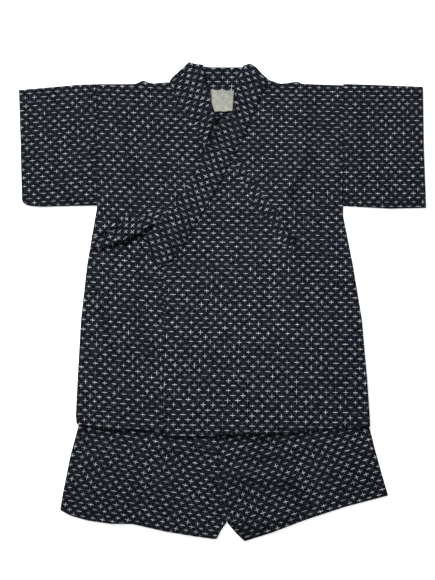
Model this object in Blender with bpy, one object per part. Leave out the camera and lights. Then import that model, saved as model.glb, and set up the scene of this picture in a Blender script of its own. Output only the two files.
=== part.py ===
"""Jinbei set: a short-sleeved wrap jacket laid flat over its matching shorts.

The set lies on its back. +X is to the right as it is looked at, +Y towards the neck and +Z up
from the surface it lies on. Right and left in the names are the wearer's, so the right sleeve
is at -X. Every piece is a wall of cloth cut to its own outline. The outlines are sliced along
one lattice that all the pieces share, and each piece is lifted over what lies under it, so that
no layer crosses another. Tables are in millimetres and the finished meshes in metres.
"""
import math
from functools import lru_cache

import bmesh
import bpy

MM = 0.001

# Cloth and layers
CLOTH = 1.0
COLLAR_CLOTH = 2.0
TIE_CLOTH = 1.6
KNOT_CLOTH = 2.6
LABEL_CLOTH = 1.0
GAP = 0.3

# Main sizes of the set as it lies: x across, y up the set from the middle of its outline
SLEEVE_END = 302.2
ARMHOLE_RIGHT = -185.9
ARMHOLE_LEFT = 179.2
SHOULDER = 323.0
NECK_CORNER = 355.7
UNDERARM = 141.5
BACK_NECK_SEAM = 317.0
FREE_EDGE = -87.0
FREE_EDGE_TOP = 50.0
SIDE_HEM_RIGHT = (-216.2, -182.0)
SIDE_HEM_LEFT = (219.0, -186.1)
SHORTS_LOWEST = -355.7
WAIST_TOP = -80.0
WAIST_SEAM = -105.0
WAIST_HALF = 152.0
CROTCH = (6.5, -327.8)

# The lattice that every piece is sliced on, and how a layer comes down past an edge under it
LATTICE = 17.0
SNAP = 0.25
FULL_LIFT = 1.45 * LATTICE
SLOPE = 26.0

# Air between the front and the back of the jacket, the shorts and the sleeves
JACKET_LOFT = 2.2
SHORTS_LOFT = 1.8
SLEEVE_LOFT = 1.0
LOFT_REACH = 45.0

# The slot through a flattened tube: how far inside a folded edge, and how far past an open end
SLOT_EDGE = 2.0
SLOT_PAST = 5.0

# Seams and edges, each a run of corners (x, y), from the top down or from the right side across
SHOULDER_RIGHT = [(ARMHOLE_RIGHT, SHOULDER), (-130.0, SHOULDER), (-118.0, 328.6), (-106.0, 323.8),
                  (-79.6, 326.0)]
SHOULDER_LEFT = [(69.6, 328.6), (87.0, SHOULDER), (113.6, 326.2), (118.0, SHOULDER),
                 (ARMHOLE_LEFT, 321.0)]
BACK_NECKLINE = [(-79.6, 326.0), (-66.0, BACK_NECK_SEAM), (60.0, BACK_NECK_SEAM), (69.6, 328.6)]
SIDE_RIGHT = [(ARMHOLE_RIGHT, UNDERARM), (-201.2, 52.7), (-210.1, -27.5), (-214.6, -107.7),
              (-217.6, -170.0), SIDE_HEM_RIGHT]
SIDE_LEFT = [(ARMHOLE_LEFT, UNDERARM), (192.3, 52.7), (205.7, -27.5), (213.1, -107.7),
             (217.6, -170.0), SIDE_HEM_LEFT]
HEM_BACK = [SIDE_HEM_RIGHT, (-171.0, -187.5), (-95.0, -189.6), (60.0, -189.6), (171.0, -184.5),
            SIDE_HEM_LEFT]
HEM_RIGHT_FRONT = [SIDE_HEM_RIGHT, (-171.5, -189.3), (-95.8, -191.7), (0.0, -190.5), (85.0, -188.5)]
HEM_LEFT_FRONT = [(FREE_EDGE, -200.0), (-57.2, -200.3), (14.1, -197.4), (79.4, -195.9),
                  (127.0, -192.3), (171.5, -187.6), SIDE_HEM_LEFT]

# The collar band of the left front, which lies on top, from the shoulder down to its end
COLLAR_SEAM = [(69.1, 328.9), (52.7, 294.8), (43.8, 277.0), (34.9, 251.7), (21.5, 223.5), (9.7, 205.0),
               (-0.7, 180.4), (-27.5, 135.1), (-46.8, 106.2), (-57.9, 81.7), (-72.6, 62.4), (-92.1, 51.2)]
COLLAR_NECK_EDGE = [(-97.3, 52.7), (-116.6, 94.3), (-95.8, 116.6), (-72.0, 141.8), (-39.4, 192.3),
                    (-24.5, 229.4), (-9.7, 256.2), (2.0, 274.0), (17.1, 281.4), (21.5, 317.0),
                    (30.4, 349.7), (40.8, 353.4), (51.2, 346.7), (58.7, 337.8)]

# The collar band of the right front, which goes under the other one
UNDER_COLLAR_SEAM = [(-78.6, 325.4), (-69.1, 303.7), (-57.2, 287.0), (-42.3, 262.1), (-27.5, 232.4),
                     (-0.7, 180.4), (27.5, 135.1), (46.8, 106.2), (57.9, 81.7), (72.6, 62.4), (85.0, 56.0)]
UNDER_COLLAR_NECK_EDGE = [(97.0, 60.0), (110.0, 94.3), (95.8, 116.6), (72.0, 141.8), (39.0, 192.3),
                          (12.0, 229.4), (-9.7, 262.1), (-12.6, 277.0), (-17.8, 294.8), (-18.6, 312.6),
                          (-24.5, 317.0), (-27.5, 339.3), (-29.0, 351.2), (-42.3, 352.7),
                          (-49.0, NECK_CORNER), (-58.7, 346.7), (-69.1, 337.8), (-77.0, 329.4)]
BACK_COLLAR = [(-66.0, 317.6), (60.0, 317.6), (62.0, 332.0), (50.0, 344.0), (40.0, 351.0),
               (28.0, 348.0), (-18.6, 348.0), (-29.0, 349.6), (-48.0, 352.0), (-67.0, 335.0)]

# The sleeves, each up to its armhole seam, and the height of the fold and seam of their inside
SLEEVE_RIGHT = [(-SLEEVE_END, 314.1), (-299.6, 230.0), (-297.7, 150.7), (-294.0, 145.0), (-286.0, 142.2),
                (-271.0, 140.3), (-220.5, 141.8), (ARMHOLE_RIGHT - GAP, 142.2),
                (ARMHOLE_RIGHT - GAP, SHOULDER), (-211.6, 322.2), (-235.4, 320.0)]
SLEEVE_LEFT = [(ARMHOLE_LEFT + GAP, UNDERARM), (248.7, 137.6), (SLEEVE_END, 138.8), (300.2, 230.0),
               (297.3, 318.5), (184.9, SHOULDER), (ARMHOLE_LEFT + GAP, SHOULDER)]
SLEEVE_INSIDE = (146.0, 312.0)

# The shorts, whose upper part and waist are under the jacket
SHORTS_SIDE_RIGHT = [(-WAIST_HALF, WAIST_SEAM), (-190.0, -138.0), (-213.1, -181.9), (-225.9, -229.4),
                     (-237.2, -285.9), (-241.0, -309.2)]
SHORTS_HEM_RIGHT = [(-225.9, -317.6), (-199.3, -325.2), (-165.6, -330.0), (-132.9, -330.4),
                    (-85.4, -341.4), (-42.3, -348.5), (-11.9, -352.7), (-8.2, -351.8), (-2.2, -339.3)]
SHORTS_HEM_LEFT = [(19.6, -343.3), (32.8, SHORTS_LOWEST), (72.6, -343.3), (121.9, -324.5),
                   (180.4, -305.2), (245.8, -287.9)]
SHORTS_SIDE_LEFT = [(235.4, -252.3), (226.0, -218.3), (218.4, -187.9), (190.0, -138.0),
                    (WAIST_HALF, WAIST_SEAM)]
CENTRE_SEAM = [(-2.0, WAIST_SEAM), (-5.0, -200.0), (-6.7, -250.2), (-6.1, -282.9), (5.2, -312.6),
               CROTCH]

LABEL = [(-17.1, 314.0), (17.1, 312.6), (14.9, 282.4), (2.0, 281.0), (-11.6, 281.2), (-14.2, 289.0),
         (-18.4, 299.0)]

# The tie: its centre lines, and the flat knot they meet in
TIE_WIDTH = 19.5
TIE_FRONT_LINE = [(-82.5, 133.5), (-104.0, 121.5), (-125.5, 112.5), (-140.5, 106.8)]
TIE_SIDE_LINE = [(-194.0, 88.6), (-174.5, 89.2), (-158.1, 96.6), (-142.2, 105.4)]
KNOT_CENTRE = (-141.0, 108.5)
KNOT_LENGTH = 40.0
KNOT_WIDTH = 31.0
KNOT_TURN = 26.0
KNOT_ROUNDING = 0.3

# Largest folds of the fronts: x and y of both ends, width and height of the ridge
FOLD_COLUMNS = ("x0", "y0", "x1", "y1", "width", "height")
JACKET_FOLDS = [
    (-130.0, 318.0, -130.0, 200.0, 34.0, 1.8),
    (122.0, 318.0, 118.0, 215.0, 34.0, 1.8),
    (118.0, 215.0, 104.0, 120.0, 36.0, 1.4),
    (104.0, 120.0, 122.0, 60.0, 36.0, 1.2),
    (-120.0, 60.0, -132.0, 10.0, 36.0, 1.2),
]
SHORTS_FOLDS = [
    (-150.0, -215.0, -60.0, -300.0, 50.0, 1.6),
    (30.0, -220.0, 150.0, -262.0, 50.0, 1.6),
]

# What each piece rests on, straight under it
RESTS_ON = {
    "shorts_back_right": (),
    "shorts_back_left": (),
    "shorts_waistband": (),
    "shorts_front_right": ("shorts_back_right", "shorts_back_left"),
    "shorts_front_left": ("shorts_back_right", "shorts_back_left"),
    "jacket_back": ("shorts_front_right", "shorts_front_left", "shorts_waistband"),
    "collar_back": (),
    "label": ("jacket_back",),
    "jacket_front_right": ("jacket_back",),
    "collar_right": ("jacket_back", "collar_back", "label"),
    "jacket_front_left": ("jacket_front_right", "collar_right", "jacket_back"),
    "collar_left": ("jacket_front_right", "collar_right", "collar_back", "label", "tie_front"),
    "tie_front": ("jacket_front_right",),
    "tie_side": ("jacket_front_right",),
    "tie_knot": ("tie_front", "tie_side"),
}
THICKNESS = {
    "shorts_waistband": 2.0 * CLOTH + GAP,
    "label": LABEL_CLOTH,
    "collar_right": COLLAR_CLOTH,
    "collar_left": COLLAR_CLOTH,
    "tie_front": TIE_CLOTH,
    "tie_side": TIE_CLOTH,
    "tie_knot": KNOT_CLOTH,
}
COTTON = ("kasuri_cotton", (0.016, 0.022, 0.038), 0.85)
WOVEN_LABEL = ("woven_label", (0.62, 0.60, 0.52), 0.8)


def turned(x, y, degrees):
    """The point (x, y) turned about the origin."""
    angle = math.radians(degrees)
    return x * math.cos(angle) - y * math.sin(angle), x * math.sin(angle) + y * math.cos(angle)


def moved(points, dx, dy=0.0):
    """The same run of corners, moved across."""
    return [(x + dx, y + dy) for x, y in points]


def ribbon(line, width):
    """The outline of a strap of one width along a centre line."""
    sides = ([], [])
    for number, (x, y) in enumerate(line):
        x0, y0 = line[max(number - 1, 0)]
        x1, y1 = line[min(number + 1, len(line) - 1)]
        run = math.hypot(x1 - x0, y1 - y0)
        across = (-(y1 - y0) / run * width / 2, (x1 - x0) / run * width / 2)
        sides[0].append((x + across[0], y + across[1]))
        sides[1].append((x - across[0], y - across[1]))
    return sides[0] + sides[1][::-1]


def knot_outline():
    """A rounded oblong, turned to lie along the tie."""
    half_length = KNOT_LENGTH / 2
    half_width = KNOT_WIDTH / 2
    quarter = [(half_length, half_width * (1 - 2 * KNOT_ROUNDING)),
               (half_length * (1 - KNOT_ROUNDING), half_width)]
    flat = quarter + [(-x, y) for x, y in quarter[::-1]]
    flat += [(-x, -y) for x, y in flat]
    spots = [turned(x, y, KNOT_TURN) for x, y in flat]
    return moved(spots, *KNOT_CENTRE)


def outlines():
    """The outline of every piece, with half a gap taken off each side of a seam."""
    half = GAP / 2
    centre_right = moved(CENTRE_SEAM, -half)
    centre_left = moved(CENTRE_SEAM, half)
    shorts_right = SHORTS_SIDE_RIGHT + SHORTS_HEM_RIGHT + centre_right[::-1]
    shorts_left = centre_left + SHORTS_HEM_LEFT + SHORTS_SIDE_LEFT
    seam = moved(COLLAR_SEAM, half, -half)
    under_seam = moved(UNDER_COLLAR_SEAM, -half, -half)
    waist = [(-WAIST_HALF, WAIST_SEAM + GAP), (WAIST_HALF, WAIST_SEAM + GAP),
             (WAIST_HALF, WAIST_TOP), (-WAIST_HALF, WAIST_TOP)]
    return {
        "shorts_back_right": shorts_right,
        "shorts_back_left": shorts_left,
        "shorts_front_right": shorts_right,
        "shorts_front_left": shorts_left,
        "shorts_waistband": waist,
        "jacket_back": SIDE_RIGHT + HEM_BACK[1:] + SIDE_LEFT[-2::-1] + SHOULDER_LEFT[:0:-1]
                       + BACK_NECKLINE[::-1] + SHOULDER_RIGHT[-2::-1],
        "collar_back": BACK_COLLAR,
        "label": LABEL,
        "jacket_front_right": SIDE_RIGHT + HEM_RIGHT_FRONT[1:] + under_seam[::-1]
                              + SHOULDER_RIGHT[-2::-1],
        "collar_right": moved(UNDER_COLLAR_SEAM, half, half) + UNDER_COLLAR_NECK_EDGE,
        "jacket_front_left": HEM_LEFT_FRONT + SIDE_LEFT[-2::-1] + SHOULDER_LEFT[:0:-1] + seam[:-1]
                             + [(FREE_EDGE, FREE_EDGE_TOP)],
        "collar_left": moved(COLLAR_SEAM, -half, half) + COLLAR_NECK_EDGE,
        "tie_front": ribbon(TIE_FRONT_LINE, TIE_WIDTH),
        "tie_side": ribbon(TIE_SIDE_LINE, TIE_WIDTH),
        "tie_knot": knot_outline(),
    }


OUTLINES = outlines()


def smooth(share):
    """A soft step from 0 to 1."""
    share = min(max(share, 0.0), 1.0)
    return share * share * (3.0 - 2.0 * share)


def distance_to_line(x, y, x0, y0, x1, y1):
    """How far (x, y) is from a straight stretch, and how far along it."""
    dx, dy = x1 - x0, y1 - y0
    along = ((x - x0) * dx + (y - y0) * dy) / (dx * dx + dy * dy)
    along = min(max(along, 0.0), 1.0)
    return math.hypot(x - x0 - along * dx, y - y0 - along * dy), along


def edge_distance(outline, x, y):
    """Distance to an outline: negative inside it and positive outside."""
    nearest = math.inf
    inside = False
    for (x0, y0), (x1, y1) in zip(outline, outline[1:] + outline[:1]):
        if (x0, y0) == (x1, y1):
            continue
        nearest = min(nearest, distance_to_line(x, y, x0, y0, x1, y1)[0])
        if (y0 > y) != (y1 > y) and x < x0 + (y - y0) * (x1 - x0) / (y1 - y0):
            inside = not inside
    return -nearest if inside else nearest


def cover(name, x, y):
    """1 over a piece and a little past its edge, falling softly to 0 further out."""
    past = edge_distance(OUTLINES[name], x, y) - FULL_LIFT
    return 1.0 - smooth(past / SLOPE)


def ridges(folds, x, y):
    """Height of the folds in a table at (x, y)."""
    total = 0.0
    for row in folds:
        fold = dict(zip(FOLD_COLUMNS, row))
        away, along = distance_to_line(x, y, fold["x0"], fold["y0"], fold["x1"], fold["y1"])
        total += fold["height"] * smooth(1.0 - 2.0 * away / fold["width"])
    return total


def loft(outline, x, y, rise):
    """Air under a front: none at its outline, and most from a hand's breadth inside it."""
    return rise * smooth(-edge_distance(outline, x, y) / LOFT_REACH)


JACKET_OUTLINE = OUTLINES["jacket_back"]
SHORTS_OUTLINE = SHORTS_SIDE_RIGHT + SHORTS_HEM_RIGHT + SHORTS_HEM_LEFT + SHORTS_SIDE_LEFT


def own_rise(name, x, y):
    """What a piece adds by itself to the height it rests at."""
    if name == "jacket_front_right":
        return loft(JACKET_OUTLINE, x, y, JACKET_LOFT) + ridges(JACKET_FOLDS, x, y)
    if name.startswith("shorts_front"):
        return loft(SHORTS_OUTLINE, x, y, SHORTS_LOFT) + ridges(SHORTS_FOLDS, x, y)
    return 0.0


@lru_cache(maxsize=None)
def lattice_height(name, column, row):
    """Height of a piece's underside over one point of the lattice."""
    x, y = column * LATTICE, row * LATTICE
    under = [0.0]
    for lower in RESTS_ON[name]:
        top = lattice_height(lower, column, row) + THICKNESS.get(lower, CLOTH) + GAP
        under.append(cover(lower, x, y) * top)
    if name in ("jacket_front_left", "collar_left", "collar_right"):
        under.append(front_height(column, row))
    return max(under) + own_rise(name, x, y)


def front_height(column, row):
    """The rise of the right front, which the rest of the front follows where it isn't there."""
    x, y = column * LATTICE, row * LATTICE
    base = lattice_height("jacket_back", column, row) * cover("jacket_back", x, y)
    return base + own_rise("jacket_front_right", x, y)


def height(name, x, y):
    """Height of a piece's underside anywhere: flat across each triangle of the lattice."""
    column, row = math.floor(x / LATTICE), math.floor(y / LATTICE)
    u, v = x / LATTICE - column, y / LATTICE - row
    right = lattice_height(name, column + 1, row)
    far = lattice_height(name, column, row + 1)
    if u + v <= 1.0:
        near = lattice_height(name, column, row)
        return near + u * (right - near) + v * (far - near)
    corner = lattice_height(name, column + 1, row + 1)
    return corner + (1.0 - u) * (far - corner) + (1.0 - v) * (right - corner)


def slice_on_lattice(bm, outline):
    """Cut a flat face along the lattice's columns, rows and diagonals."""
    spans = ((1.0, 0.0), (0.0, 1.0), (1.0, 1.0))
    for nx, ny in spans:
        reach = [(x * nx + y * ny) / LATTICE for x, y in outline]
        for step in range(math.ceil(min(reach)), math.floor(max(reach)) + 1):
            place = step * LATTICE / (nx * nx + ny * ny)
            bmesh.ops.bisect_plane(bm, geom=bm.verts[:] + bm.edges[:] + bm.faces[:], dist=SNAP,
                                   plane_co=(place * nx, place * ny, 0.0), plane_no=(nx, ny, 0.0))


def wall(name, outline, bottom, top):
    """A closed solid over an outline, between two heights given as functions of x and y."""
    bm = bmesh.new()
    bm.faces.new([bm.verts.new((x, y, 0.0)) for x, y in outline])
    slice_on_lattice(bm, outline)
    grown = bmesh.ops.extrude_face_region(bm, geom=bm.faces[:], use_keep_orig=True)["geom"]
    upper = {vert for vert in grown if isinstance(vert, bmesh.types.BMVert)}
    for vert in bm.verts:
        x, y = vert.co.x, vert.co.y
        vert.co.z = top(x, y) if vert in upper else bottom(x, y)
    bmesh.ops.scale(bm, verts=bm.verts[:], vec=(MM, MM, MM))
    bmesh.ops.triangulate(bm, faces=bm.faces[:])
    bmesh.ops.recalc_face_normals(bm, faces=bm.faces[:])
    mesh = bpy.data.meshes.new(name)
    bm.to_mesh(mesh)
    bm.free()
    return bpy.data.objects.new(name, mesh)


def panel(name):
    """A single layer of cloth, lifted over what it rests on."""
    thick = THICKNESS.get(name, CLOTH)
    return wall(name, OUTLINES[name], lambda x, y: height(name, x, y),
                lambda x, y: height(name, x, y) + thick)


def hollow_tube(name, outline, rise, slot, parts, cutters):
    """A flattened tube: two layers joined along their folds, with a thin slot right through."""
    def inner_top(x, y):
        return CLOTH + GAP + loft(outline, x, y, rise)

    tube = wall(name, outline, lambda x, y: 0.0, lambda x, y: inner_top(x, y) + CLOTH)
    cutter = wall(name + "_slot", slot, lambda x, y: CLOTH, inner_top)
    cutters.objects.link(cutter)
    cutter.hide_render = True
    cutter.display_type = "WIRE"
    parts.objects.link(tube)
    cut = tube.modifiers.new("slot", "BOOLEAN")
    cut.operation = "DIFFERENCE"
    cut.solver = "EXACT"
    cut.object = cutter
    return tube


def slot_box(low, high):
    """The outline of a slot, from its low corner to its high one."""
    return [low, (high[0], low[1]), high, (low[0], high[1])]


def material(name, colour, roughness):
    """A plain cloth material."""
    made = bpy.data.materials.new(name)
    made.use_nodes = True
    shader = made.node_tree.nodes["Principled BSDF"]
    shader.inputs["Base Color"].default_value = (*colour, 1.0)
    shader.inputs["Roughness"].default_value = roughness
    shader.inputs["Metallic"].default_value = 0.0
    made.diffuse_color = (*colour, 1.0)
    return made


def clear_scene():
    for item in list(bpy.data.objects):
        bpy.data.objects.remove(item, do_unlink=True)


def build():
    clear_scene()
    parts = bpy.data.collections.new("jinbei_set")
    cutters = bpy.data.collections.new("cutters")
    bpy.context.scene.collection.children.link(parts)
    bpy.context.scene.collection.children.link(cutters)

    for name in OUTLINES:
        if name != "shorts_waistband":
            parts.objects.link(panel(name))
    inner_half = WAIST_HALF - SLOT_EDGE
    waist = slot_box((-inner_half, WAIST_SEAM - SLOT_PAST), (inner_half, WAIST_TOP + SLOT_PAST))
    hollow_tube("shorts_waistband", OUTLINES["shorts_waistband"], 0.0, waist, parts, cutters)
    low, top = SLEEVE_INSIDE
    cuff = SLEEVE_END + SLOT_PAST
    right = slot_box((-cuff, low), (ARMHOLE_RIGHT + SLOT_PAST, top))
    left = slot_box((ARMHOLE_LEFT - SLOT_PAST, low), (cuff, top))
    hollow_tube("sleeve_right", SLEEVE_RIGHT, SLEEVE_LOFT, right, parts, cutters)
    hollow_tube("sleeve_left", SLEEVE_LEFT, SLEEVE_LOFT, left, parts, cutters)

    for item in parts.objects:
        finish = WOVEN_LABEL if item.name == "label" else COTTON
        item.data.materials.append(material(item.name + "_" + finish[0], finish[1], finish[2]))


build()
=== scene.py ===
"""Looks of the jinbei set: navy kasuri cotton with small white crosses, laid flat on a pale floor.

Right and left are the wearer's, so right is at -X. Tables and lengths are in millimetres.
"""
import math
from bisect import bisect_right

import bmesh
import bpy
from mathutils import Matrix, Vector, noise
from mathutils.bvhtree import BVHTree


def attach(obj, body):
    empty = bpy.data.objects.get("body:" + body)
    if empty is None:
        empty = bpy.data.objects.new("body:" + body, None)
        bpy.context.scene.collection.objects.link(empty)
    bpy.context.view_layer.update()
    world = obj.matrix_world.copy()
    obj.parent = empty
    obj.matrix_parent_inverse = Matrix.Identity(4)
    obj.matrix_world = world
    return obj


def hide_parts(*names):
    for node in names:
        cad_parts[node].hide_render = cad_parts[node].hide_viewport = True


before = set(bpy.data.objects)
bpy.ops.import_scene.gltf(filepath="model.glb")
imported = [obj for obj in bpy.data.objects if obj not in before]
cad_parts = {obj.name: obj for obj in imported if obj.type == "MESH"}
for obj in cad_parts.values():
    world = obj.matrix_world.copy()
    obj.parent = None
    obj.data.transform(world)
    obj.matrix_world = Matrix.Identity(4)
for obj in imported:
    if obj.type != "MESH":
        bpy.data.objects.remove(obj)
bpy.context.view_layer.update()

MM = 0.001

# Camera: straight above, framed as the photograph
PHOTO_HEIGHT_MM = 861.4
CAMERA_HEIGHT = 2600.0
VIEW_CENTRE = (-7.4, 17.1)
SENSOR = 36.0

# Cloth
CLOTH = 0.6
COLLAR_CLOTH = 1.5
TIE_CLOTH = 1.1
LABEL_CLOTH = 0.5
KNOT_CLOTH = 2.0
SLEEVE_REST = 0.02
MESH_STEP = 2.5
HIDDEN_STEP = 7.0
HEM_WIDTH = 20.0
HEM_RISE = 0.45
SEAM_DIP = 0.5
SEAM_REACH = 2.4
EDGE_ROUND = 1.6
UNEVEN_HEIGHT = 0.55
UNEVEN_SIZE = 46.0

# Seams and edges of the jacket, each a run of corners (x, y)
ARMHOLE_RIGHT = -185.9
ARMHOLE_LEFT = 179.2
UNDERARM = 141.5
SHOULDER = 323.0
FREE_EDGE = -87.0
SIDE_HEM_RIGHT = (-216.2, -182.0)
SIDE_HEM_LEFT = (219.0, -186.1)
SHOULDER_RIGHT = [(ARMHOLE_RIGHT, 322.8), (-130.0, SHOULDER), (-126.0, 324.6), (-118.0, 328.6),
                  (-106.0, 323.8), (-79.6, 326.0)]
SHOULDER_LEFT = [(69.6, 328.6), (87.0, SHOULDER), (112.0, 326.4), (118.0, SHOULDER),
                 (ARMHOLE_LEFT, 321.0)]
SIDE_RIGHT = [SIDE_HEM_RIGHT, (-217.6, -170.0), (-214.6, -107.7), (-210.1, -27.5), (-201.2, 52.7),
              (-188.4, 128.0), (ARMHOLE_RIGHT, UNDERARM), (ARMHOLE_RIGHT, 322.8)]
SIDE_LEFT = [SIDE_HEM_LEFT, (218.4, -170.0), (214.1, -107.7), (207.0, -27.5), (193.8, 52.7),
             (178.8, 128.0), (ARMHOLE_LEFT, UNDERARM), (ARMHOLE_LEFT, 321.0)]
HEM_BACK = [SIDE_HEM_RIGHT, (-171.0, -187.5), (-95.0, -189.6), (60.0, -189.6), (171.0, -184.5),
            SIDE_HEM_LEFT]
HEM_RIGHT_FRONT = [SIDE_HEM_RIGHT, (-171.5, -189.3), (-95.8, -191.7), (0.0, -190.5), (85.0, -188.5)]
HEM_LEFT_FRONT = [(FREE_EDGE, -200.0), (-57.2, -200.3), (14.1, -197.4), (79.4, -195.9),
                  (127.0, -192.3), (171.5, -187.6), SIDE_HEM_LEFT]
BACK_TOP = SHOULDER_RIGHT + [(-66.0, 317.0), (60.0, 317.0)] + SHOULDER_LEFT

# The collar seams and the neck edges of the band, from its lower end up to the shoulder
COLLAR_SEAM = [(-92.1, 51.2), (-72.6, 62.4), (-57.9, 81.7), (-46.8, 106.2), (-27.5, 135.1),
               (-0.7, 180.4), (9.7, 205.0), (21.5, 223.5), (34.9, 251.7), (43.8, 277.0),
               (52.7, 294.8), (69.1, 328.9)]
COLLAR_NECK = [(-116.6, 94.3), (-95.8, 116.6), (-72.0, 141.8), (-39.4, 192.3), (-24.5, 229.4),
               (-9.7, 256.2), (2.0, 274.0), (17.1, 281.4), (21.5, 317.0), (30.4, 349.7)]
COLLAR_END = [(-92.1, 51.2), (-97.3, 52.7), (-116.6, 94.3)]
COLLAR_TOP = [(69.1, 328.9), (58.7, 337.8), (51.2, 346.7), (40.8, 353.4), (30.4, 349.7)]
UNDER_SEAM = [(85.0, 56.0), (72.6, 62.4), (57.9, 81.7), (46.8, 106.2), (27.5, 135.1),
              (-0.7, 180.4), (-27.5, 232.4), (-42.3, 262.1), (-57.2, 287.0), (-69.1, 303.7),
              (-78.6, 325.4)]
UNDER_NECK = [(110.0, 94.3), (95.8, 116.6), (72.0, 141.8), (39.0, 192.3), (12.0, 229.4),
              (-9.7, 262.1), (-12.6, 277.0), (-17.8, 294.8), (-18.6, 312.6), (-24.5, 317.0),
              (-27.5, 339.3), (-29.0, 351.2)]
UNDER_END = [(85.0, 56.0), (97.0, 60.0), (110.0, 94.3)]
UNDER_TOP = [(-78.6, 325.4), (-77.0, 329.4), (-69.1, 337.8), (-58.7, 346.7), (-49.0, 355.7),
             (-42.3, 352.7), (-29.0, 351.2)]
BACK_COLLAR_LOW = [(-66.0, 315.5), (60.0, 315.5)]
BACK_COLLAR_TOP = [(-48.0, 352.0), (-29.0, 349.6), (-18.6, 348.0), (28.0, 348.0), (40.0, 351.0)]

# The sleeves
SLEEVE_RIGHT_UNDER = [(-297.7, 150.7), (-295.6, 145.4), (-288.0, 142.2), (-271.0, 140.3),
                      (-220.5, 141.8), (ARMHOLE_RIGHT, 142.2)]
SLEEVE_RIGHT_CUFF = [(-297.7, 150.7), (-299.6, 230.0), (-302.2, 314.1)]
SLEEVE_RIGHT_FOLD = [(-302.2, 314.1), (-235.4, 320.0), (-211.6, 322.2), (ARMHOLE_RIGHT, 322.8)]
SLEEVE_LEFT_UNDER = [(ARMHOLE_LEFT, 141.4), (248.7, 137.6), (302.2, 138.8)]
SLEEVE_LEFT_CUFF = [(302.2, 138.8), (298.9, 230.0), (297.5, 319.0)]
SLEEVE_LEFT_FOLD = [(ARMHOLE_LEFT, 322.6), (184.9, SHOULDER), (297.3, 318.5)]

# The shorts
WAIST_SEAM = -105.0
WAIST_TOP = -80.0
WAIST_HALF = 152.0
SHORTS_SIDE_RIGHT = [(-241.0, -309.2), (-237.2, -285.9), (-225.9, -229.4), (-213.1, -181.9),
                     (-190.0, -138.0), (-WAIST_HALF, WAIST_SEAM)]
SHORTS_HEM_RIGHT = [(-241.0, -309.2), (-225.9, -317.6), (-199.3, -325.2), (-165.6, -330.0),
                    (-132.9, -330.4), (-85.4, -341.4), (-42.3, -348.5), (-11.9, -352.7),
                    (-8.2, -351.8)]
SHORTS_CENTRE = [(6.5, -327.8), (5.2, -312.6), (-6.1, -282.9), (-6.7, -250.2), (-5.0, -200.0),
                 (-2.0, WAIST_SEAM)]
SHORTS_INNER_RIGHT = [(-8.2, -351.8), (-2.2, -339.3)] + SHORTS_CENTRE
SHORTS_INNER_LEFT = [(32.8, -355.7), (19.6, -343.3)] + SHORTS_CENTRE
SHORTS_HEM_LEFT = [(32.8, -355.7), (72.6, -343.3), (121.9, -324.5), (180.4, -305.2), (245.8, -287.9)]
SHORTS_SIDE_LEFT = [(245.8, -287.9), (235.4, -252.3), (226.0, -218.3), (218.4, -187.9),
                    (190.0, -138.0), (WAIST_HALF, WAIST_SEAM)]

LABEL_LOW = [(-11.6, 281.2), (-4.0, 282.4), (2.0, 281.0), (9.0, 282.8), (14.9, 282.4)]
LABEL_LEFT = [(-11.6, 281.2), (-14.2, 289.0), (-18.4, 299.0), (-17.1, 314.0)]
LABEL_TOP = [(-17.1, 314.0), (17.1, 312.6)]
LABEL_RIGHT = [(14.9, 282.4), (17.1, 312.6)]

# The tie: centre lines and widths
TIE_WIDTH = 19.5
TIE_FRONT_LINE = [(-82.5, 133.5), (-104.0, 121.5), (-125.5, 112.5), (-140.5, 106.8)]
TIE_SIDE_LINE = [(-194.0, 88.6), (-174.5, 89.2), (-158.1, 96.6), (-142.2, 105.4)]
KNOT_LINE = [(-160.0, 99.0), (-150.0, 104.0), (-132.0, 113.0), (-122.0, 118.0)]
KNOT_WIDTH = 31.0
STRAP_LIFT = 1.8
COLLAR_LIFT = 0.9

# How the cross pattern lies on each piece: pitch across and along, turn of its rows, lean of its
# columns, how much both pitches change for each 100 mm up the piece, and the cross at its centre.
# The rows from left_front to collar_left are rounded results of a scratch fit to the photograph.
# The other rows are given one by one.
GRAIN_COLUMNS = ("x", "y", "across", "along", "turn", "lean", "fan", "squash", "du", "dv")
GRAIN = {
    "left_front": (67.0, 26.0, 14.19, 13.36, -1.1, 0.0, 0.013, 0.054, 0.34, 0.87),
    "right_front_top": (-130.0, 232.0, 13.76, 13.04, -2.5, 6.5, -0.015, 0.017, 0.92, 0.33),
    "right_front_low": (-148.0, -48.0, 13.57, 14.08, -4.7, 4.2, 0.046, -0.006, -0.64, -20.19),
    "sleeve_right": (-239.0, 226.0, 13.95, 12.47, 4.2, -1.5, 0.016, 0.004, 0.62, 0.59),
    "sleeve_left": (237.0, 226.0, 13.10, 12.66, 0.4, 0.3, 0.015, 0.020, 0.05, 0.66),
    "leg_right": (-115.0, -259.0, 14.43, 13.68, -10.1, -2.5, 0.022, -0.102, 0.74, 0.17),
    "leg_left": (108.0, -259.0, 14.49, 13.85, 15.6, 0.9, 0.065, -0.003, 0.13, 0.86),
    "collar_left": (-30.0, 170.0, 13.66, 13.05, -28.9, -0.3, 0.0, 0.0, 0.76, 0.27),
    "collar_right": (-48.0, 305.0, 13.70, 13.10, 32.0, 0.0, 0.0, 0.0, 0.0, 0.0),
    "collar_back": (0.0, 333.0, 13.70, 13.10, 0.0, 0.0, 0.0, 0.0, 0.0, 0.0),
    "tie_front": (-110.0, 120.0, 13.70, 13.10, 26.0, 0.0, 0.0, 0.0, 0.0, 0.0),
    "tie_side": (-170.0, 92.0, 13.70, 13.10, 18.0, 0.0, 0.0, 0.0, 0.2, 0.3),
    "tie_knot": (-140.0, 108.0, 13.70, 13.10, 42.0, 0.0, 0.0, 0.0, 0.4, 0.1),
}

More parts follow.
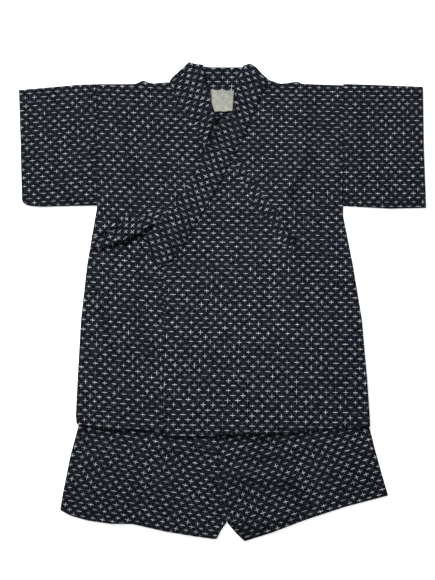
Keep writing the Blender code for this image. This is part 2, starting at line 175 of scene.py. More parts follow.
# Soft folds: x and y of both ends, width, height of the ridge (below 0 for a trough)
FOLD_COLUMNS = ("x0", "y0", "x1", "y1", "width", "height")
JACKET_FOLDS = [
    (-130.0, 324.0, -128.0, 250.0, 4.5, 1.5),
    (-128.0, 250.0, -136.0, 180.0, 6.0, 1.8),
    (-149.0, 238.0, -149.0, 198.0, 5.0, 1.3),
    (-146.0, 136.0, -118.0, 158.0, 6.0, 1.8),
    (122.0, 322.0, 124.0, 222.0, 4.5, 1.5),
    (124.0, 222.0, 108.0, 150.0, 6.5, 2.3),
    (108.0, 150.0, 101.0, 95.0, 6.5, 2.1),
    (101.0, 95.0, 124.0, 50.0, 7.0, 1.7),
    (-127.0, 81.0, -131.0, 17.0, 7.0, 1.8),
    (-180.0, -15.0, -164.0, -72.0, 8.0, 1.6),
    (-144.0, 2.0, -138.0, -60.0, 8.0, 1.4),
    (115.0, -120.0, 162.0, -138.0, 10.0, 1.3),
    (60.0, 150.0, 20.0, 138.0, 9.0, 1.2),
    (150.0, 20.0, 168.0, -90.0, 14.0, 1.2),
    (-20.0, 272.0, -24.0, 235.0, 4.0, 1.6),
    (-123.0, 91.0, -99.0, 74.0, 3.5, 1.4),
    (-160.0, 88.0, -128.0, 88.0, 3.5, 0.9),
    (-175.0, 108.0, -158.0, 112.0, 4.0, 1.8),
]
SHORTS_FOLDS = [
    (-110.0, -221.0, -20.0, -226.0, 9.0, 1.4),
    (18.0, -222.0, 100.0, -226.0, 9.0, 1.7),
    (100.0, -226.0, 150.0, -206.0, 9.0, 1.6),
    (30.0, -255.0, 110.0, -262.0, 11.0, 1.6),
    (100.0, -265.0, 124.0, -296.0, 8.0, 1.4),
    (-180.0, -235.0, -160.0, -300.0, 14.0, 1.3),
    (160.0, -230.0, 175.0, -280.0, 14.0, 1.3),
    (-90.0, -260.0, -60.0, -320.0, 14.0, 1.0),
]

# Where the photograph shows the cloth darker, in folds and beside edges: both ends, width and depth.
# Read off the photograph by eye in pixels and turned into millimetres by a scratch script. This shade
# is painted into the cloth's colour, so it stays dark under any light.
SHADE_COLUMNS = ("x0", "y0", "x1", "y1", "width", "depth")
JACKET_SHADES = [
    (-7.0, 271.0, -16.0, 243.0, 5.9, 0.75),
    (-16.0, 243.0, -30.0, 216.0, 5.9, 0.45),
    (125.0, 229.0, 118.0, 192.0, 4.5, 0.35),
    (118.0, 192.0, 105.0, 166.0, 5.9, 0.45),
    (105.0, 164.0, 103.0, 157.0, 5.9, 0.55),
    (102.0, 155.0, 94.0, 136.0, 5.2, 0.42),
    (94.0, 136.0, 99.0, 94.0, 4.5, 0.35),
    (99.0, 94.0, 121.0, 62.0, 5.9, 0.30),
    (-142.0, 277.0, -133.0, 203.0, 7.4, 0.28),
    (-157.0, 271.0, -155.0, 264.0, 8.9, 0.20),
    (-114.0, 192.0, -123.0, 180.0, 8.9, 0.26),
    (-146.0, 180.0, -134.0, 172.0, 8.9, 0.20),
    (-81.0, 124.0, -105.0, 111.0, 3.0, 0.80),
    (-105.0, 111.0, -127.0, 99.0, 3.0, 0.70),
    (-127.0, 99.0, -152.0, 88.0, 3.3, 0.75),
    (-152.0, 88.0, -176.0, 76.0, 3.3, 0.65),
    (-182.0, 100.0, -152.0, 111.0, 3.3, 0.60),
    (-164.0, 123.0, -152.0, 117.0, 2.7, 0.50),
    (-127.0, 97.0, -111.0, 87.0, 3.0, 0.60),
    (-111.0, 87.0, -99.0, 62.0, 3.7, 0.35),
    (-75.0, 82.0, -74.0, 78.0, 5.2, 0.45),
    (-125.0, 76.0, -127.0, 25.0, 3.7, 0.30),
    (-48.0, 128.0, -76.0, 59.0, 2.2, 0.55),
    (30.0, 255.0, -48.0, 128.0, 2.2, 0.25),
    (-87.0, 50.0, -87.0, -191.0, 1.9, 0.25),
    (-182.0, -10.0, -164.0, -65.0, 5.2, 0.30),
    (-130.0, -27.0, -108.0, -75.0, 16.3, 0.16),
    (-152.0, -87.0, -108.0, -146.0, 20.8, 0.08),
    (112.0, -123.0, 182.0, -121.0, 7.4, 0.20),
    (152.0, 47.0, 148.0, -42.0, 8.9, 0.14),
    (182.0, -139.0, 204.0, -183.0, 10.4, 0.15),
    (-186.0, 307.0, -186.0, 143.0, 2.2, 0.30),
    (179.0, 307.0, 179.0, 143.0, 2.2, 0.30),
    (124.0, 311.0, 124.0, 255.0, 4.5, 0.18),
    (-130.0, 317.0, -133.0, 281.0, 4.5, 0.20),
]
SLEEVE_SHADES = [
    (207.0, 304.0, 207.0, 173.0, 5.2, 0.30),
    (-186.0, 307.0, -186.0, 143.0, 2.2, 0.30),
    (179.0, 307.0, 179.0, 143.0, 2.2, 0.30),
    (-286.0, 151.0, -189.0, 146.0, 5.9, 0.20),
    (189.0, 148.0, 293.0, 145.0, 5.9, 0.20),
    (-241.0, 284.0, -238.0, 166.0, 20.8, 0.08),
]
SHORTS_SHADES = [
    (-209.0, -192.0, -123.0, -195.0, 4.8, 0.60),
    (-123.0, -198.0, 4.0, -200.0, 3.6, 0.40),
    (8.0, -203.0, 59.0, -206.0, 5.9, 0.65),
    (59.0, -203.0, 115.0, -201.0, 3.6, 0.45),
    (115.0, -201.0, 213.0, -194.0, 3.6, 0.35),
    (-100.0, -223.0, -19.0, -223.0, 4.5, 0.40),
    (19.0, -232.0, 78.0, -232.0, 5.2, 0.45),
    (78.0, -232.0, 123.0, -219.0, 5.2, 0.40),
    (26.0, -221.0, 100.0, -215.0, 3.7, 0.25),
    (8.0, -268.0, 100.0, -271.0, 7.4, 0.40),
    (100.0, -274.0, 123.0, -302.0, 8.9, 0.40),
    (-219.0, -280.0, -100.0, -283.0, 16.3, 0.20),
    (-4.0, -206.0, -5.0, -310.0, 3.0, 0.30),
    (23.0, -339.0, 59.0, -341.0, 10.4, 0.50),
    (59.0, -336.0, 115.0, -320.0, 5.9, 0.35),
    (-241.0, -305.0, -108.0, -327.0, 4.5, 0.25),
    (182.0, -250.0, 226.0, -280.0, 20.8, 0.15),
]
# Painted shade that darkens all the cloth's colour away from this middle, towards the sleeves and legs.
SHADE_CENTRE = (-10.0, 0.0)
SHADE_REACH = 380.0
SHADE_RIM = 0.16

# Colours and finish
NAVY = (0.0205, 0.026, 0.039)
NAVY_DEEP = (0.0006, 0.0008, 0.0016)
CROSS_WHITE = (0.90, 0.92, 0.95)
LABEL_CREAM = (0.215, 0.22, 0.182)
FLOOR_WHITE = (0.97, 0.97, 0.97)
PITCH = 14.0
ARM_LENGTH = 7.3
ARM_WIDTH = 0.60
YARN = 0.55
FLECK = 2.6
RIM = 1.2
RIM_DEPTH = 1.0
WANDER_ACROSS = 0.9
WANDER_UP = 0.5


class Edge:
    """A seam or edge of a panel: a run of corners, softened, read by the share of its length."""

    def __init__(self, corners, soft=2.5):
        self.corners = [Vector(corner) for corner in corners]
        self.soft = soft
        self.reach = [0.0]
        for start, end in zip(self.corners, self.corners[1:]):
            self.reach.append(self.reach[-1] + (end - start).length)
        self.length = self.reach[-1]

    def sharp(self, place):
        place = min(max(place, 0.0), self.length)
        run = min(bisect_right(self.reach, place), len(self.corners) - 1) - 1
        share = (place - self.reach[run]) / (self.reach[run + 1] - self.reach[run])
        return self.corners[run].lerp(self.corners[run + 1], share)

    def at(self, share):
        place = share * self.length
        soft = min(self.soft, place, self.length - place)
        return (self.sharp(place - soft) + 2.0 * self.sharp(place) + self.sharp(place + soft)) / 4.0


class Panel:
    """Four edges round a piece of cloth, and the finish of each."""

    def __init__(self, low, right, top, left, finish=None):
        self.low, self.right, self.top, self.left = (Edge(run) for run in (low, right, top, left))
        self.finish = finish or {}

    def at(self, s, t):
        across = self.left.at(t).lerp(self.right.at(t), s)
        up = self.low.at(s).lerp(self.top.at(s), t)
        low = self.low.at(0.0).lerp(self.low.at(1.0), s)
        top = self.top.at(0.0).lerp(self.top.at(1.0), s)
        return across + up - low.lerp(top, t)

    def size(self):
        width = max(self.low.length, self.top.length)
        return width, max(self.left.length, self.right.length)

    def depths(self, s, t):
        """Distance in from each edge, roughly."""
        width = (self.right.at(t) - self.left.at(t)).length
        height = (self.top.at(s) - self.low.at(s)).length
        return {"left": s * width, "right": (1.0 - s) * width,
                "low": t * height, "top": (1.0 - t) * height}


def smooth(share):
    share = min(max(share, 0.0), 1.0)
    return share * share * (3.0 - 2.0 * share)


def edge_relief(panel, s, t):
    """Hems stand a little higher, seams are drawn in, and folds round off."""
    rise = 0.0
    for side, depth in panel.depths(s, t).items():
        kind = panel.finish.get(side)
        if kind == "hem":
            rise += HEM_RISE * smooth((HEM_WIDTH - depth) / 1.5)
            rise -= 0.3 * math.exp(-((depth - HEM_WIDTH) / 1.2) ** 2)
        if kind == "narrow_hem":
            rise += HEM_RISE * smooth((HEM_WIDTH / 2 - depth) / 1.5)
        if kind == "seam":
            rise -= SEAM_DIP * math.exp(-(depth / SEAM_REACH) ** 2)
        if kind in ("hem", "narrow_hem", "fold"):
            rise -= HEM_RISE * (1.0 - min(depth / EDGE_ROUND, 1.0)) ** 2
    return rise


def folds_at(folds, x, y):
    """The height of the soft folds of a table, uneven along their length."""
    total = 0.0
    for row in folds:
        fold = dict(zip(FOLD_COLUMNS, row))
        start = Vector((fold["x0"], fold["y0"]))
        run = Vector((fold["x1"], fold["y1"])) - start
        along = (Vector((x, y)) - start).dot(run) / run.length_squared
        away = (Vector((x, y)) - start - run * min(max(along, 0.0), 1.0)).length
        if away < 3.0 * fold["width"]:
            uneven = 0.8 + 0.4 * noise.noise(Vector((x * 0.04, y * 0.04, 3.0)))
            total += fold["height"] * uneven * math.exp(-(away / fold["width"]) ** 2)
    return total


def shade_at(shades, x, y):
    """Share of its colour that a spot keeps under painted shade: less in folds, by covered edges and away from
    the middle.
    """
    spot = Vector((x, y))
    kept = 1.0 - SHADE_RIM * smooth((spot - Vector(SHADE_CENTRE)).length / SHADE_REACH)
    for row in shades:
        shade = dict(zip(SHADE_COLUMNS, row))
        start = Vector((shade["x0"], shade["y0"]))
        run = Vector((shade["x1"], shade["y1"])) - start
        along = (spot - start).dot(run) / run.length_squared
        away = (spot - start - run * min(max(along, 0.0), 1.0)).length
        if away < 2.5 * shade["width"]:
            uneven = 0.85 + 0.4 * noise.noise(Vector((x * 0.09, y * 0.09, 5.0)))
            kept *= 1.0 - min(shade["depth"] * uneven, 0.9) * math.exp(-(away / shade["width"]) ** 2)
    return kept


def unevenness(x, y, layer):
    """The small waves of cloth that has been laid down by hand."""
    wide = noise.noise(Vector((x / UNEVEN_SIZE, y / UNEVEN_SIZE, layer)))
    small = noise.noise(Vector((x / UNEVEN_SIZE * 2.7, y / UNEVEN_SIZE * 1.9, layer + 9.0)))
    return UNEVEN_HEIGHT * (0.7 + wide + 0.4 * small)


class SolidTop:
    """The upper side of CAD nodes, softened between their flat faces."""

    SPREAD = 8.0
    RING = 8

    def __init__(self, *names):
        verts, faces = [], []
        for name in names:
            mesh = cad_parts[name].data
            start = len(verts)
            verts += [vert.co.copy() for vert in mesh.vertices]
            faces += [tuple(start + corner for corner in face.vertices) for face in mesh.polygons]
        self.tree = BVHTree.FromPolygons(verts, faces)
        turns = [2.0 * math.pi * step / self.RING for step in range(self.RING)]
        self.spots = [(0.0, 0.0)] + [(self.SPREAD * math.cos(a), self.SPREAD * math.sin(a)) for a in turns]

    def sharp(self, x, y):
        hit = self.tree.ray_cast(Vector((x * MM, y * MM, 1.0)), Vector((0.0, 0.0, -1.0)))[0]
        return hit.z / MM if hit else None

    def at(self, x, y):
        found = [self.sharp(x + dx, y + dy) for dx, dy in self.spots]
        found = [height for height in found if height is not None]
        if found:
            return sum(found) / len(found)
        near = self.tree.find_nearest(Vector((x * MM, y * MM, 0.02)))[0]
        return near.z / MM


def grain_at(name, x, y):
    """Where a point lies in the cross pattern, counted in crosses."""
    if name == "right_front":
        upper = smooth((y - 60.0) / 90.0)
        top, low = grain_at("right_front_top", x, y), grain_at("right_front_low", x, y)
        return tuple(b + upper * (a - b) for a, b in zip(top, low))
    grain = dict(zip(GRAIN_COLUMNS, GRAIN[name]))
    dx, dy = x - grain["x"], y - grain["y"]
    turn = math.radians(grain["turn"])
    across = dx * math.cos(turn) + dy * math.sin(turn)
    up = dy * math.cos(turn) - dx * math.sin(turn)
    across += up * math.tan(math.radians(grain["lean"]))
    u = grain["du"] + across / grain["across"] * (1.0 + grain["fan"] * up / 100.0)
    v = grain["dv"] + (up + 0.5 * grain["squash"] * up * up / 100.0) / grain["along"]
    return u, v


def finish_piece(bm, name, places, grain, cloth, material):
    """Turn a grid into a piece: its places, pattern map, wall and material."""
    layer = bm.loops.layers.uv.new("grain")
    # Painted shade: each spot stores the share of its colour that it keeps in folds, by covered edges and away
    # from the middle.
    kept = bm.verts.layers.float.new("painted_shade_kept")
    shades = JACKET_SHADES
    if name.startswith("sleeve"):
        shades = SLEEVE_SHADES
    if name.startswith("shorts"):
        shades = SHORTS_SHADES
    for vert, place in zip(bm.verts, places):
        vert.co = Vector(place) * MM
        vert[kept] = shade_at(shades, place[0], place[1])
    for face in bm.faces:
        for loop in face.loops:
            loop[layer].uv = grain_at(grain, loop.vert.co.x / MM, loop.vert.co.y / MM)
    mesh = bpy.data.meshes.new(name)
    bm.to_mesh(mesh)
    bm.free()
    mesh.shade_smooth()
    piece = bpy.data.objects.new(name, mesh)
    bpy.context.scene.collection.objects.link(piece)
    wall = piece.modifiers.new("wall", "SOLIDIFY")
    wall.thickness = cloth * MM
    wall.offset = -1.0
    mesh.materials.append(material)
    return piece


def sheet_piece(name, panel, top, extra, grain, cloth, material, step=MESH_STEP):
    """A single layer of cloth: a grid drawn to the panel's edges and laid on its solid."""
    width, height = panel.size()
    columns = max(4, round(width / step))
    rows = max(4, round(height / step))
    bm = bmesh.new()
    bmesh.ops.create_grid(bm, x_segments=columns, y_segments=rows, size=0.5)
    bm.verts.ensure_lookup_table()
    places = []
    for vert in bm.verts:
        s, t = vert.co.x + 0.5, vert.co.y + 0.5
        spot = panel.at(s, t)
        z = top.at(spot.x, spot.y) + edge_relief(panel, s, t) + extra(spot.x, spot.y)
        places.append((spot.x, spot.y, z))
    return finish_piece(bm, name, places, grain, cloth, material)


def tube_piece(name, panel, top, extra, grain, cloth, material, step=MESH_STEP):
    """A flattened tube: one grid wrapped round its fold and closed at its seam."""
    width, height = panel.size()
    columns = max(4, round(width / step))
    rows = 2 * max(4, round(height / step))
    bm = bmesh.new()
    bmesh.ops.create_grid(bm, x_segments=columns, y_segments=rows, size=0.5)
    bm.verts.ensure_lookup_table()
    places = []
    for vert in bm.verts:
        s, turn = vert.co.x + 0.5, 2.0 * (vert.co.y + 0.5)
        front = turn <= 1.0
        t = turn if front else 2.0 - turn
        spot = panel.at(s, t)
        upper = top.at(spot.x, spot.y) + edge_relief(panel, s, t) + extra(spot.x, spot.y)
        depth = panel.depths(s, t)
        edge = min(depth["low"], depth["top"])
        close = math.sqrt(min(edge / 3.0, 1.0))
        middle = 0.5 * (upper + cloth)
        z = middle + (upper - middle) * close if front else middle - (middle - SLEEVE_REST) * close
        places.append((spot.x, spot.y, z))
    return finish_piece(bm, name, places, grain, cloth, material)


def ribbon_panel(line, width, finish):
    """A strap of one width along a centre line, as a panel lying along it."""
    centre = Edge(line)
    shares = [step / 8.0 for step in range(9)]
    low, top = [], []
    for share in shares:
        ahead = centre.at(min(share + 0.02, 1.0)) - centre.at(max(share - 0.02, 0.0))
        across = Vector((-ahead.y, ahead.x)).normalized() * (width / 2.0)
        low.append(tuple(centre.at(share) - across))
        top.append(tuple(centre.at(share) + across))
    return Panel(low, [low[-1], top[-1]], top, [low[0], top[0]], finish)


def new_material(name):
    made = bpy.data.materials.new(name)
    made.use_nodes = True
    return made, made.node_tree


def math_node(tree, operation, first, second=None, third=None):
    """A maths node with its inputs set or linked; gives its output."""
    node = tree.nodes.new("ShaderNodeMath")
    node.operation = operation
    for socket, value in zip(node.inputs, (first, second, third)):
        if value is None:
            continue
        if isinstance(value, (int, float)):
            socket.default_value = value
        else:
            tree.links.new(value, socket)
    return node.outputs[0]


def ramp_node(tree, value, low, high, start=0.0, end=1.0):
    """A soft step of a value between two limits."""
    node = tree.nodes.new("ShaderNodeMapRange")
    node.interpolation_type = "SMOOTHSTEP"
    tree.links.new(value, node.inputs["Value"])
    for socket, number in (("From Min", low), ("From Max", high), ("To Min", start), ("To Max", end)):
        if isinstance(number, (int, float)):
            node.inputs[socket].default_value = number
        else:
            tree.links.new(number, node.inputs[socket])
    return node.outputs["Result"]


def white_noise(tree, x, y, seed):
    """Two random numbers for a cell of the pattern."""
    cell = tree.nodes.new("ShaderNodeCombineXYZ")
    tree.links.new(x, cell.inputs[0])
    tree.links.new(y, cell.inputs[1])
    cell.inputs[2].default_value = seed
    node = tree.nodes.new("ShaderNodeTexWhiteNoise")
    node.noise_dimensions = "3D"
    tree.links.new(cell.outputs[0], node.inputs["Vector"])
    parts = tree.nodes.new("ShaderNodeSeparateColor")
    tree.links.new(node.outputs["Color"], parts.inputs[0])
    return parts.outputs


def cross_mask(tree, u, v, shift, seed, fray):
    """One of the two sets of crosses: the bright arms of undyed yarn and the dark rim round them."""
    u = math_node(tree, "ADD", u, shift + 0.5)
    v = math_node(tree, "ADD", v, shift + 0.5)
    column = math_node(tree, "FLOOR", u)
    row = math_node(tree, "FLOOR", v)
    chance = white_noise(tree, column, row, seed)
    other = white_noise(tree, column, row, seed + 7.3)

    def centred(value):
        return math_node(tree, "SUBTRACT", value, 0.5)

    x = math_node(tree, "MULTIPLY", centred(math_node(tree, "SUBTRACT", u, column)), PITCH)
    y = math_node(tree, "MULTIPLY", centred(math_node(tree, "SUBTRACT", v, row)), PITCH)
    x = math_node(tree, "ADD", x, math_node(tree, "MULTIPLY", centred(other[0]), WANDER_ACROSS))
    y = math_node(tree, "ADD", y, math_node(tree, "MULTIPLY", centred(other[1]), WANDER_UP))
    away_x = math_node(tree, "ABSOLUTE", x)
    away_y = math_node(tree, "ABSOLUTE", y)
    frayed_x = math_node(tree, "ADD", away_x, fray)
    frayed_y = math_node(tree, "ADD", away_y, fray)
    half_long = math_node(tree, "MULTIPLY_ADD", chance[0], 0.20 * ARM_LENGTH, 0.42 * ARM_LENGTH)
    half_tall = math_node(tree, "MULTIPLY_ADD", chance[1], 0.22 * ARM_LENGTH, 0.34 * ARM_LENGTH)
    half_wide = ARM_WIDTH / 2.0

    def arm(along, across, half, strength):
        inside = ramp_node(tree, along, half, math_node(tree, "SUBTRACT", half, 0.9))
        narrow = ramp_node(tree, across, half_wide + 0.15, half_wide - 0.15)
        return math_node(tree, "MULTIPLY", math_node(tree, "MULTIPLY", inside, narrow), strength)

    def rim(along, across, half, strength):
        inside = ramp_node(tree, along, math_node(tree, "ADD", half, RIM), half)
        narrow = ramp_node(tree, across, half_wide + 1.5 * RIM, half_wide + 0.2)
        return math_node(tree, "MULTIPLY", math_node(tree, "MULTIPLY", inside, narrow), strength)

    strong = math_node(tree, "MULTIPLY_ADD", chance[2], 0.62, 0.36)
    weak = math_node(tree, "MULTIPLY_ADD", math_node(tree, "POWER", other[2], 1.5), 0.72, 0.1)
    level = arm(frayed_x, away_y, half_long, strong)
    upright = arm(frayed_y, away_x, half_tall, weak)
    rims = math_node(tree, "MAXIMUM", rim(frayed_x, away_y, half_long, strong),
                     rim(frayed_y, away_x, half_tall, weak))
    return math_node(tree, "MAXIMUM", level, upright), rims


def kasuri_group():
    """The woven cross pattern as a node group: a map in crosses goes in, marks and weave come out."""
    group = bpy.data.node_groups.new("kasuri", "ShaderNodeTree")
    group.interface.new_socket("Map", in_out="INPUT", socket_type="NodeSocketVector")
    for name in ("Marks", "Rims", "Weave", "Shade"):
        group.interface.new_socket(name, in_out="OUTPUT", socket_type="NodeSocketFloat")
    enter = group.nodes.new("NodeGroupInput")
    leave = group.nodes.new("NodeGroupOutput")
    parts = group.nodes.new("ShaderNodeSeparateXYZ")
    group.links.new(enter.outputs["Map"], parts.inputs[0])
    u, v = parts.outputs[0], parts.outputs[1]

    thread = group.nodes.new("ShaderNodeTexNoise")
    thread.inputs["Scale"].default_value = PITCH / YARN
    thread.inputs["Detail"].default_value = 1.0
    group.links.new(enter.outputs["Map"], thread.inputs["Vector"])
    fray = math_node(group, "MULTIPLY", math_node(group, "SUBTRACT", thread.outputs[0], 0.5), 2.2)

    first = cross_mask(group, u, v, 0.0, 1.0, fray)
    second = cross_mask(group, u, v, 0.5, 2.0, fray)
    group.links.new(math_node(group, "MAXIMUM", first[0], second[0]), leave.inputs["Marks"])
    group.links.new(math_node(group, "MAXIMUM", first[1], second[1]), leave.inputs["Rims"])

    yarns = math.pi * PITCH / YARN
    over = math_node(group, "ABSOLUTE", math_node(group, "SINE", math_node(group, "MULTIPLY", u, yarns)))
    under = math_node(group, "ABSOLUTE", math_node(group, "SINE", math_node(group, "MULTIPLY", v, yarns)))
    group.links.new(math_node(group, "MULTIPLY", over, under), leave.inputs["Weave"])

    fleck = group.nodes.new("ShaderNodeTexNoise")
    fleck.inputs["Scale"].default_value = PITCH / FLECK
    fleck.inputs["Detail"].default_value = 2.0
    fleck.inputs["Roughness"].default_value = 0.7
    group.links.new(enter.outputs["Map"], fleck.inputs["Vector"])

    shades = [fleck.outputs[0]]
    for stretch in ((9.0, 1.2), (1.2, 9.0)):
        mapping = group.nodes.new("ShaderNodeMapping")
        mapping.inputs["Scale"].default_value = (stretch[0], stretch[1], 1.0)
        group.links.new(enter.outputs["Map"], mapping.inputs["Vector"])
        slub = group.nodes.new("ShaderNodeTexNoise")
        slub.inputs["Scale"].default_value = 0.9
        slub.inputs["Detail"].default_value = 3.0
        slub.inputs["Roughness"].default_value = 0.65
        group.links.new(mapping.outputs[0], slub.inputs["Vector"])
        shades.append(slub.outputs[0])
    slubs = math_node(group, "MULTIPLY_ADD", math_node(group, "ADD", shades[1], shades[2]), 0.5, 0.0)
    slub_share = math_node(group, "MULTIPLY", slubs, 0.28)
    group.links.new(math_node(group, "MULTIPLY_ADD", shades[0], 0.72, slub_share), leave.inputs["Shade"])
    return group


def mix_colour(tree, share, first, second):
    node = tree.nodes.new("ShaderNodeMix")
    node.data_type = "RGBA"
    for socket, value in (("Factor", share), ("A", first), ("B", second)):
        found = [item for item in node.inputs if item.name == socket and item.enabled][0]
        if isinstance(value, tuple):
            found.default_value = (*value, 1.0)
        else:
            tree.links.new(value, found)
    return [item for item in node.outputs if item.enabled][0]


def kasuri_cotton(group):
    """Matt navy cotton with near-black flecks and off-white woven crosses."""
    made, tree = new_material("kasuri_cotton")
    shader = tree.nodes["Principled BSDF"]
    where = tree.nodes.new("ShaderNodeUVMap")
    where.uv_map = "grain"
    kasuri = tree.nodes.new("ShaderNodeGroup")
    kasuri.node_tree = group
    tree.links.new(where.outputs[0], kasuri.inputs["Map"])
    tone = ramp_node(tree, kasuri.outputs["Shade"], 0.45, 0.59)
    rims = math_node(tree, "MULTIPLY_ADD", kasuri.outputs["Rims"], -RIM_DEPTH, 1.0)
    tone = math_node(tree, "MULTIPLY", tone, rims)
    ground = mix_colour(tree, tone, NAVY_DEEP, NAVY)
    marks = math_node(tree, "MULTIPLY", kasuri.outputs["Marks"],
                      math_node(tree, "MULTIPLY_ADD", kasuri.outputs["Weave"], 0.4, 0.75))
    # Painted shade: the cloth's colour is darkened towards black by the stored share, in folds, by covered
    # edges and away from the middle.
    kept = tree.nodes.new("ShaderNodeAttribute")
    kept.attribute_name = "painted_shade_kept"
    colour = mix_colour(tree, marks, ground, CROSS_WHITE)
    colour = mix_colour(tree, kept.outputs["Fac"], (0.0, 0.0, 0.0), colour)
    tree.links.new(colour, shader.inputs["Base Color"])
    rough = math_node(tree, "MULTIPLY_ADD", kasuri.outputs["Weave"], -0.1, 0.92)
    tree.links.new(rough, shader.inputs["Roughness"])
    shader.inputs["Specular IOR Level"].default_value = 0.03
    shader.inputs["Sheen Weight"].default_value = 0.008
    shader.inputs["Sheen Roughness"].default_value = 0.6
    bump = tree.nodes.new("ShaderNodeBump")
    bump.inputs["Strength"].default_value = 0.25
    bump.inputs["Distance"].default_value = 0.0002
    height = math_node(tree, "ADD", kasuri.outputs["Weave"], math_node(tree, "MULTIPLY", marks, 0.4))
    tree.links.new(height, bump.inputs["Height"])
    tree.links.new(bump.outputs[0], shader.inputs["Normal"])
    return made


def label_cloth():
    """Bare cream woven tape with fine ribs."""
    made, tree = new_material("woven_label")
    shader = tree.nodes["Principled BSDF"]
    where = tree.nodes.new("ShaderNodeTexCoord")
    wave = tree.nodes.new("ShaderNodeTexWave")
    wave.inputs["Scale"].default_value = 420.0
    wave.inputs["Distortion"].default_value = 0.4
    tree.links.new(where.outputs["Object"], wave.inputs["Vector"])
    cloud = tree.nodes.new("ShaderNodeTexNoise")
    cloud.inputs["Scale"].default_value = 160.0
    cloud.inputs["Detail"].default_value = 3.0
    tree.links.new(where.outputs["Object"], cloud.inputs["Vector"])
    tone = ramp_node(tree, cloud.outputs[0], 0.35, 0.7)
    pale = tuple(min(part * 1.45, 0.85) for part in LABEL_CREAM)
    tree.links.new(mix_colour(tree, tone, LABEL_CREAM, pale), shader.inputs["Base Color"])
    rough = math_node(tree, "MULTIPLY_ADD", wave.outputs[0], 0.2, 0.6)
    tree.links.new(rough, shader.inputs["Roughness"])
    bump = tree.nodes.new("ShaderNodeBump")
    bump.inputs["Strength"].default_value = 0.3
    bump.inputs["Distance"].default_value = 0.0002
    tree.links.new(wave.outputs[0], bump.inputs["Height"])
    tree.links.new(bump.outputs[0], shader.inputs["Normal"])
    return made


def floor_paint():
    made, tree = new_material("pale_floor")
    shader = tree.nodes["Principled BSDF"]
    shader.inputs["Base Color"].default_value = (*FLOOR_WHITE, 1.0)
    shader.inputs["Emission Color"].default_value = (*FLOOR_WHITE, 1.0)
    shader.inputs["Emission Strength"].default_value = 0.55
    shader.inputs["Roughness"].default_value = 0.9
    shader.inputs["Specular IOR Level"].default_value = 0.1
    return made


def add_camera():
    data = bpy.data.cameras.new("camera")
    data.sensor_width = SENSOR
    data.lens = SENSOR * CAMERA_HEIGHT / PHOTO_HEIGHT_MM
    camera = bpy.data.objects.new("camera", data)
    camera.location = Vector((*VIEW_CENTRE, CAMERA_HEIGHT)) * MM
    bpy.context.scene.collection.objects.link(camera)
    bpy.context.scene.camera = camera


def area_light(name, place, aim, size, power):
    data = bpy.data.lights.new(name, "AREA")
    data.energy = power
    data.size = size
    light = bpy.data.objects.new(name, data)
    light.location = place
    light.rotation_euler = (Vector(aim) - Vector(place)).to_track_quat("-Z", "Y").to_euler()
    bpy.context.scene.collection.objects.link(light)


def add_studio(floor_material):
    bm = bmesh.new()
    bmesh.ops.create_grid(bm, x_segments=1, y_segments=1, size=3.0)
    for vert in bm.verts:
        vert.co.z = -0.0004
    mesh = bpy.data.meshes.new("floor")
    bm.to_mesh(mesh)
    bm.free()
    mesh.materials.append(floor_material)
    floor = bpy.data.objects.new("floor", mesh)
    bpy.context.scene.collection.objects.link(floor)
    area_light("key", (-1.6, 2.7, 2.6), (0.0, 0.0, 0.0), 1.1, 250.0)
    area_light("fill", (1.6, -1.2, 2.2), (0.0, 0.0, 0.0), 2.0, 14.0)
    world = bpy.data.worlds.new("studio")
    world.use_nodes = True
    world.node_tree.nodes["Background"].inputs[0].default_value = (0.95, 0.97, 1.0, 1.0)
    world.node_tree.nodes["Background"].inputs[1].default_value = 0.33
    bpy.context.scene.world = world
    bpy.context.scene.view_settings.view_transform = "Standard"


def jacket_extra(layer):
    return lambda x, y: folds_at(JACKET_FOLDS, x, y) + unevenness(x, y, layer)


def shorts_extra(layer):
    def extra(x, y):
        clear = smooth((-178.0 - y) / 18.0)
        return clear * (folds_at(SHORTS_FOLDS, x, y) + unevenness(x, y, layer))
    return extra


def collar_extra(x, y):
    return jacket_extra(1.0)(x, y) + COLLAR_LIFT


def label_extra(x, y):
    """The label is sewn on at its top and curls up a little at its lower edge."""
    return 1.3 * smooth((304.0 - y) / 22.0) + 0.35 * math.sin(x / 5.0) * smooth((300.0 - y) / 18.0)


def strap_extra(x, y):
    """The straps and their knot stand clear of the front, so that their lower edges shade it."""
    return jacket_extra(1.0)(x, y) + STRAP_LIFT * smooth((-72.0 - x) / 20.0) * smooth((x + 202.0) / 20.0)


def flat(x, y):
    return 0.0


def declare(piece, node):
    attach(piece, "root")
    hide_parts(node)


